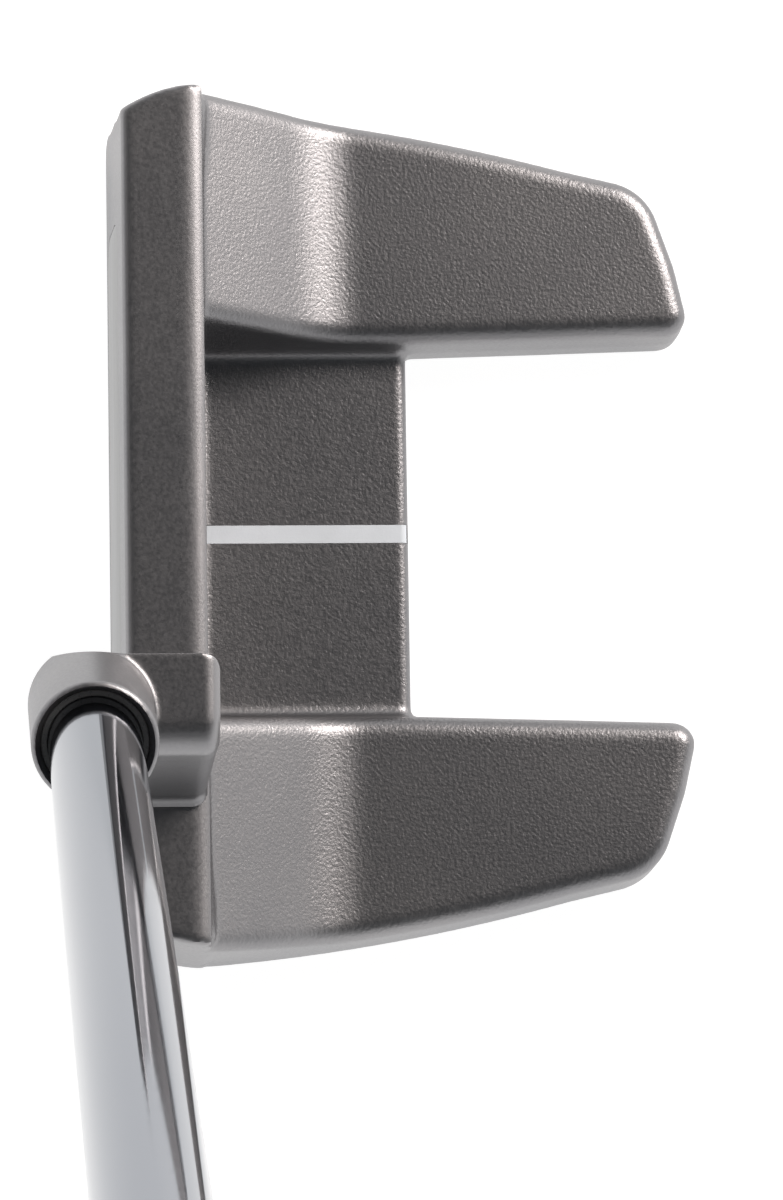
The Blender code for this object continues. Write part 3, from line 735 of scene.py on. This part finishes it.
def arm():
    """Forward bridge from the post to the socket; its top rolls over towards the heel."""
    heel = POST_HEEL + 0.0003
    loops = []
    stations = [(SHAFT_GROUND.y, 0.0)]
    for i in range(8):
        angle = math.pi * i / 14.0
        y = POST_BACK - ARM_BACK_ROUND * (1.0 - math.sin(angle))
        stations.append((y, ARM_BACK_ROUND * (1.0 - math.cos(angle))))
    for y, shrink in stations:
        toe = ARM_TOE + shrink
        loop = [Vector((toe, y, ARM_BOTTOM)), Vector((heel - shrink, y, ARM_BOTTOM))]
        for i in range(13):
            angle = math.pi * i / 24.0
            x = heel - shrink - ARM_HEEL_ROUND * (1.0 - math.cos(angle))
            z = ARM_TOP - shrink - ARM_HEEL_ROUND * (1.0 - math.sin(angle))
            loop.append(Vector((x, y, z)))
        loop.append(Vector((toe, y, ARM_TOP - shrink)))
        loops.append(loop)
    return loft(loops)


def socket():
    edge = 0.0004
    profile = [
        (SOCKET_RADIUS - 0.0030, SOCKET_END),
        (SOCKET_RADIUS - 0.0016, SOCKET_END + 0.0003),
        (SOCKET_RADIUS - 0.0007, SOCKET_END + 0.0012),
        (SOCKET_RADIUS, SOCKET_END + 0.0030),
        (SOCKET_RADIUS, RIM - edge),
        (SOCKET_RADIUS - edge, RIM),
    ]
    return turned(profile)


def neck_piece():
    shells = [(post(), None), (arm(), None), (socket(), SHAFT_FRAME)]
    neck = add_object("neck_casting", joined(shells))
    fuse(neck, NECK_VOXEL, 4)
    trim = slab((0.0, ARM_TOE), TRIM_Y, TRIM_Z, 0.0010)
    bore = [
        (BORE_RADIUS, BORE_END),
        (BORE_RADIUS, RIM - CHAMFER_DEPTH),
        (CHAMFER_RADIUS, RIM),
        (CHAMFER_RADIUS, RIM + CUT_PAST),
    ]
    cut(neck, [(trim, None), (turned(bore), SHAFT_FRAME)])
    shade(neck)
    return neck


# Shaft ----------------------------------------------------------------------------------


def shaft_outline():
    """(radius, distance) along the stepped outside of the shaft, tip to butt."""
    points = [(TIP_RADIUS, SHAFT_TIP)]
    for i in range(STEP_COUNT):
        at = FIRST_STEP + (LAST_STEP - FIRST_STEP) * i / (STEP_COUNT - 1)
        below = TIP_RADIUS + (BUTT_RADIUS - TIP_RADIUS) * i / STEP_COUNT
        above = TIP_RADIUS + (BUTT_RADIUS - TIP_RADIUS) * (i + 1) / STEP_COUNT
        for k in range(7):
            share = k / 6.0
            ease = share * share * (3.0 - 2.0 * share)
            points.append((below + (above - below) * ease, at + STEP_SLOPE * share))
    points.append((BUTT_RADIUS, SHAFT_BUTT))
    return points


def shaft_piece():
    outside = shaft_outline()
    inside = [(radius - SHAFT_WALL, at) for radius, at in reversed(outside)]
    tube = add_object("shaft_tube", turned(outside + inside, 128, hollow=True), SHAFT_FRAME)
    shade(tube)
    return tube


def collar_piece():
    """Dark ring that closes the countersink round the shaft, with a soft upper edge."""
    inner = TIP_RADIUS + COLLAR_GAP
    slope = (CHAMFER_RADIUS - BORE_RADIUS) / CHAMFER_DEPTH
    foot = RIM - CHAMFER_DEPTH
    edge = BORE_RADIUS - COLLAR_GAP
    brim = edge + slope * (COLLAR_TOP - foot)
    profile = [
        (inner, COLLAR_FOOT),
        (edge, COLLAR_FOOT),
        (edge, foot),
        (brim, COLLAR_TOP),
        (brim - 0.0001, COLLAR_TOP + 0.0001),
        (inner + 0.0001, COLLAR_TOP + 0.0001),
        (inner, COLLAR_TOP),
    ]
    collar = add_object("collar_ring", turned(profile, hollow=True), SHAFT_FRAME)
    shade(collar)
    return collar


# Grip -----------------------------------------------------------------------------------


def grip_loop(at, grow=0.0):
    """D-shaped section; its flat faces -X of the shaft frame, under the thumbs."""
    share = (at - GRIP_MOUTH) / (GRIP_END - GRIP_MOUTH)
    side = 0.0103 + 0.0024 * share + 0.0007 * math.sin(math.pi * share)
    back = 0.0104 + 0.0050 * share ** 2 - 0.0010 * math.sin(math.pi * share)
    front = 0.0122 + 0.0012 * share
    points = []
    for i in range(ROUND_SIDES):
        angle = 2.0 * math.pi * i / ROUND_SIDES
        across, along = math.sin(angle), math.cos(angle)
        depth = back if along > 0.0 else front
        x = max((depth + grow) * along, -FLAT_DEPTH - grow)
        points.append(Vector((x, (side + grow) * across, at)))
    return points


def grip_skin():
    """Rubber sleeve with shallow grooves across it and a recess for the cap."""
    low = GRIP_MOUTH + MOUTH_RING_LENGTH + 0.0001
    loops = [circle(GRIP_BORE, low), grip_loop(low, -0.0005)]
    rows = 180
    for i in range(rows + 1):
        at = low + 0.0004 + (GRIP_END - GRIP_END_ROUND - low - 0.0004) * i / rows
        grooved = 0.0 < (i / rows * RIB_COUNT) % 1.0 < RIB_SHARE
        loops.append(grip_loop(at, -RIB_DEPTH if grooved else 0.0))
    for i in range(1, 7):
        angle = math.pi * i / 12.0
        at = GRIP_END - GRIP_END_ROUND + GRIP_END_ROUND * math.sin(angle)
        loops.append(grip_loop(at, -GRIP_END_ROUND * (1.0 - math.cos(angle))))
    recess = GRIP_END - CAP_THICKNESS - 0.0003
    loops.append(circle(CAP_RADIUS + 0.0001, GRIP_END))
    loops.append(circle(CAP_RADIUS + 0.0001, recess))
    loops.append(circle(GRIP_BORE, recess))
    skin = add_object("grip_sleeve", loft(loops, wrap=True), SHAFT_FRAME)
    shade(skin)
    return skin


def mouth_ring():
    """Lip that eases the round shaft into the D-shaped grip."""
    high = GRIP_MOUTH + MOUTH_RING_LENGTH
    inner = GRIP_BORE
    loops = [circle(inner, GRIP_MOUTH), circle(inner + 0.0008, GRIP_MOUTH)]
    for i in range(6):
        share = i / 5.0
        at = GRIP_MOUTH + 0.0003 + 0.0025 * share
        loops.append(grip_loop(at, -0.0014 + 0.0010 * math.sin(share * math.pi / 2.0)))
    loops.append(grip_loop(high - 0.0003, 0.0))
    loops.append(grip_loop(high, -0.0004))
    loops.append(circle(inner, high))
    ring = add_object("grip_lip", loft(loops, wrap=True), SHAFT_FRAME)
    shade(ring)
    return ring


def cap_piece():
    """Domed disc with a concentric groove, a spigot into the shaft and a vent hole."""
    low = GRIP_END - CAP_THICKNESS
    spigot = BUTT_RADIUS - SHAFT_WALL - 0.0003
    top = GRIP_END
    profile = [
        (VENT_RADIUS, low - 0.0100),
        (spigot - 0.0004, low - 0.0100),
        (spigot, low - 0.0096),
        (spigot, low),
        (CAP_RADIUS, low),
        (CAP_RADIUS, top - 0.0004),
        (CAP_RADIUS - 0.0001, top - 0.0001),
        (CAP_RADIUS - 0.0004, top),
        (0.0086, top + 0.0002),
        (0.0084, top - 0.0002),
        (0.0080, top - 0.0002),
        (0.0078, top + 0.0002),
        (0.0040, top + 0.0004),
        (VENT_RADIUS + 0.0003, top + 0.0004),
        (VENT_RADIUS, top + 0.0001),
    ]
    cap = add_object("cap_disc", turned(profile, hollow=True), SHAFT_FRAME)
    shade(cap)
    return cap


# Materials ------------------------------------------------------------------------------


def ramp(tree, source, stops):
    """Colour ramp over a 0-1 value; stops are (position, colour)."""
    node = tree.nodes.new("ShaderNodeValToRGB")
    tree.links.new(source, node.inputs["Fac"])
    first, last = node.color_ramp.elements
    first.position, first.color = stops[0]
    last.position, last.color = stops[-1]
    for position, colour in stops[1:-1]:
        node.color_ramp.elements.new(position).color = colour
    return node.outputs["Color"]


def noise(tree, vector, scale, detail=3.0):
    node = tree.nodes.new("ShaderNodeTexNoise")
    node.inputs["Scale"].default_value = scale
    node.inputs["Detail"].default_value = detail
    tree.links.new(vector, node.inputs["Vector"])
    return node.outputs["Fac"]


def ranged(tree, source, from_range, to_range):
    node = tree.nodes.new("ShaderNodeMapRange")
    tree.links.new(source, node.inputs["Value"])
    node.inputs["From Min"].default_value, node.inputs["From Max"].default_value = from_range
    node.inputs["To Min"].default_value, node.inputs["To Max"].default_value = to_range
    return node.outputs["Result"]


def stretched(tree, scale):
    """Object coordinates scaled unevenly, so that a noise turns into strokes."""
    place = tree.nodes.new("ShaderNodeTexCoord")
    mapping = tree.nodes.new("ShaderNodeMapping")
    mapping.inputs["Scale"].default_value = scale
    tree.links.new(place.outputs["Object"], mapping.inputs["Vector"])
    return mapping.outputs["Vector"]


def surface(name, dark, light, rough, metallic, grain, relief, patch=40.0, stretch=(1.0, 1.0, 1.0)):
    """A material with colour patches, uneven roughness and fine relief, all from noise.

    dark and light are the colours of the patches, rough the range of roughness, grain the
    grains per metre, relief the (strength, height in metres) of the grains.
    """
    made = bpy.data.materials.new(name)
    made.use_nodes = True
    tree = made.node_tree
    shader = tree.nodes["Principled BSDF"]
    shader.inputs["Metallic"].default_value = metallic
    vector = stretched(tree, stretch)
    patches = noise(tree, vector, patch, 4.0)
    grains = noise(tree, vector, grain, 2.0)
    tree.links.new(ramp(tree, patches, [(0.3, dark), (0.7, light)]), shader.inputs["Base Color"])
    tree.links.new(ranged(tree, grains, (0.3, 0.7), rough), shader.inputs["Roughness"])
    bump = tree.nodes.new("ShaderNodeBump")
    bump.inputs["Strength"].default_value, bump.inputs["Distance"].default_value = relief
    tree.links.new(grains, bump.inputs["Height"])
    tree.links.new(bump.outputs["Normal"], shader.inputs["Normal"])
    return made


def blasted_steel():
    """Bead-blasted casting; its relief fades out on the milled topline."""
    made = surface(
        "blasted_steel_grain",
        (0.258, 0.256, 0.266, 1.0),
        (0.318, 0.312, 0.318, 1.0),
        (0.37, 0.45),
        1.0,
        2900.0,
        (0.35, 0.00010),
    )
    tree = made.node_tree
    place = tree.nodes.new("ShaderNodeTexCoord")
    split = tree.nodes.new("ShaderNodeSeparateXYZ")
    tree.links.new(place.outputs["Object"], split.inputs["Vector"])
    fade = ranged(tree, split.outputs["Z"], (0.0236, 0.0244), (0.48, 0.12))
    bump = next(n for n in tree.nodes if n.type == "BUMP")
    tree.links.new(fade, bump.inputs["Strength"])
    return made


def grey(value, warmth=0.0):
    """A near-neutral colour; warmth above zero leans to red, below to blue."""
    return (value * (1.0 + warmth), value, value * (1.0 - warmth), 1.0)


def metal(name, dark, light, rough, grain, relief, **strokes):
    return surface(name, dark, light, rough, 1.0, grain, relief, **strokes)


def nonmetal(name, dark, light, rough, grain, relief, **strokes):
    return surface(name, dark, light, rough, 0.0, grain, relief, **strokes)


def materials():
    """The look of every material slot of the record."""
    chrome = (0.218, 0.236, 0.270, 1.0), (0.232, 0.250, 0.285, 1.0)
    steel = grey(0.185), grey(0.230)
    weight = grey(0.42, 0.01), grey(0.50, 0.01)
    milled = grey(0.33), grey(0.36)
    enamel = grey(0.78, -0.06), grey(0.84, -0.06)
    black = grey(0.075, -0.02), grey(0.110, -0.02)
    resin = grey(0.10, 0.2), grey(0.14, 0.2)
    paper = grey(0.45, 0.1), grey(0.55, 0.1)
    rubber = grey(0.014), grey(0.022)
    lines = (1.0, 30.0, 30.0)
    shallow = (0.10, 0.00005)
    return {
        "blasted_steel": blasted_steel(),
        "satin_steel": metal("neck_satin", *steel, (0.15, 0.22), 2600.0, (0.12, 0.00006)),
        "weight_metal": metal("weight_satin", *weight, (0.28, 0.38), 900.0, shallow),
        "chrome": metal("shaft_chrome", *chrome, (0.05, 0.08), 700.0, (0.02, 0.00002), patch=15.0),
        "insert_metal": metal(
            "insert_milled", *milled, (0.38, 0.46), 60.0, (0.25, 0.00005), patch=10.0, stretch=lines
        ),
        "white_fill": nonmetal(
            "line_enamel", *enamel, (0.40, 0.55), 3000.0, (0.15, 0.00005), patch=200.0
        ),
        "trim_polymer": nonmetal("collar_black", *black, (0.25, 0.35), 2500.0, shallow),
        "resin": nonmetal("resin_cured", *resin, (0.30, 0.40), 900.0, shallow),
        "tape": nonmetal("tape_paper", *paper, (0.70, 0.85), 2200.0, (0.30, 0.00005)),
        "grip_rubber": nonmetal(
            "grip_rubber_grain", *rubber, (0.62, 0.78), 1500.0, (0.60, 0.00025), patch=60.0
        ),
    }


# Assembly -------------------------------------------------------------------------------


def dress(piece, body, node, look):
    """Give a piece its material and tie it to the CAD node it stands for."""
    piece.data.materials.clear()
    piece.data.materials.append(look)
    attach(piece, body)
    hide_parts(node)


def paint_node(node, look):
    """Put a material on a CAD node that is carried over as it is."""
    mesh = frame["nodes"][node].data
    mesh.materials.clear()
    mesh.materials.append(look)


def node_slots():
    """The record's material slot of every node, which its packed material is named after."""
    return {name: obj.data.materials[0].name for name, obj in frame["nodes"].items()}


def node_bodies():
    """The body that every node belongs to."""
    return {n: body for body, nodes in frame["record"]["behaviour"]["bodies"].items() for n in nodes}


def assemble():
    looks = materials()
    slots = node_slots()
    bodies = node_bodies()
    pieces = {
        "head_body": head_piece(),
        "hosel_neck": neck_piece(),
        "alignment_line": alignment_line(),
        "face_insert": face_insert(),
        "sole_plate": sole_plate(),
        "shaft": shaft_piece(),
        "shaft_collar": collar_piece(),
        "grip_skin": grip_skin(),
        "grip_mouth_ring": mouth_ring(),
        "butt_cap": cap_piece(),
    }
    for side in ("toe", "heel"):
        pieces[f"sole_plate_screw_{side}"] = plate_screw(side)
        pieces[f"{side}_weight"] = sole_weight(side)
        pieces[f"{side}_weight_ring"] = weight_ring(side)
    for node, piece in pieces.items():
        dress(piece, bodies[node], node, looks[slots[node]])
    for node in frame["nodes"]:
        if node not in pieces:
            paint_node(node, looks[slots[node]])


# Studio ---------------------------------------------------------------------------------


def clear_from_below(tree):
    """Let a surface be seen through from its back, so that the sole can be looked at."""
    geometry = tree.nodes.new("ShaderNodeNewGeometry")
    clear = tree.nodes.new("ShaderNodeBsdfTransparent")
    mixed = tree.nodes.new("ShaderNodeMixShader")
    tree.links.new(geometry.outputs["Backfacing"], mixed.inputs[0])
    tree.links.new(tree.nodes["Principled BSDF"].outputs["BSDF"], mixed.inputs[1])
    tree.links.new(clear.outputs["BSDF"], mixed.inputs[2])
    tree.links.new(mixed.outputs["Shader"], tree.nodes["Material Output"].inputs["Surface"])


def floor_piece():
    """White sweep of paper under the putter, lit enough by itself to stay white."""
    half = 12.0
    bm = bmesh.new()
    corners = [(-half, -half), (half, -half), (half, half), (-half, half)]
    bm.faces.new([bm.verts.new((x, y, FLOOR_Z)) for x, y in corners])
    floor = add_object("studio_floor", bm)
    look = surface("floor_paper", grey(0.30), grey(0.31), (0.90, 0.95), 0.0, 400.0, (0.02, 0.00002), 2.0)
    shader = look.node_tree.nodes["Principled BSDF"]
    shader.inputs["Specular IOR Level"].default_value = 0.0
    shader.inputs["Emission Color"].default_value = (1.0, 1.0, 1.0, 1.0)
    shader.inputs["Emission Strength"].default_value = 0.92
    clear_from_below(look.node_tree)
    floor.data.materials.append(look)


def sky():
    """Dim ceiling overhead, pale walls down to the horizon."""
    world = bpy.data.worlds.new("studio_sky")
    bpy.context.scene.world = world
    world.use_nodes = True
    tree = world.node_tree
    place = tree.nodes.new("ShaderNodeTexCoord")
    split = tree.nodes.new("ShaderNodeSeparateXYZ")
    tree.links.new(place.outputs["Generated"], split.inputs["Vector"])
    stops = [
        (0.0, grey(1.0)),
        (0.10, grey(1.0)),
        (0.45, grey(0.38)),
        (0.75, grey(0.085, -0.08)),
        (1.0, grey(0.028, -0.16)),
    ]
    colour = ramp(tree, split.outputs["Z"], stops)
    tree.links.new(colour, tree.nodes["Background"].inputs["Color"])


def softbox(name, at, target, size, radiance):
    """A rectangular area light; radiance is how bright its surface looks."""
    light = bpy.data.lights.new(name, "AREA")
    light.shape = "RECTANGLE"
    light.size, light.size_y = size
    light.energy = radiance * math.pi * size[0] * size[1]
    light.color = WARM_LIGHT
    obj = bpy.data.objects.new(name, light)
    bpy.context.collection.objects.link(obj)
    obj.location = at
    obj.rotation_euler = (Vector(target) - Vector(at)).to_track_quat("-Z", "Y").to_euler()
    return obj


def lights():
    head = (0.0, 0.0, 0.012)
    softbox("toe_softbox", (-0.38, 0.42, 0.42), head, (0.36, 0.30), 13.5)
    softbox("front_strip", (-0.10, -0.75, 0.90), head, (1.40, 0.22), 0.5)
    fill = softbox("overhead_fill", (0.0, 0.0, 1.6), head, (1.20, 1.20), 0.7)
    fill.visible_glossy = False


def camera():
    data = bpy.data.cameras.new("camera")
    data.lens = 180.0
    data.sensor_width = 36.0
    data.clip_start = 0.01
    data.clip_end = 100.0
    obj = bpy.data.objects.new("camera", data)
    bpy.context.collection.objects.link(obj)
    obj.location = (0.09413, -0.04663, 0.660744)
    angles = [math.radians(a) for a in (7.5946, -4.3693, 89.0943)]
    obj.rotation_euler = Euler(angles, "XYZ")
    bpy.context.scene.camera = obj


def tone():
    view = bpy.context.scene.view_settings
    view.view_transform = "Standard"
    view.look = "None"
    view.exposure = 0.0
    view.gamma = 1.0


assemble()
floor_piece()
sky()
lights()
camera()
tone()
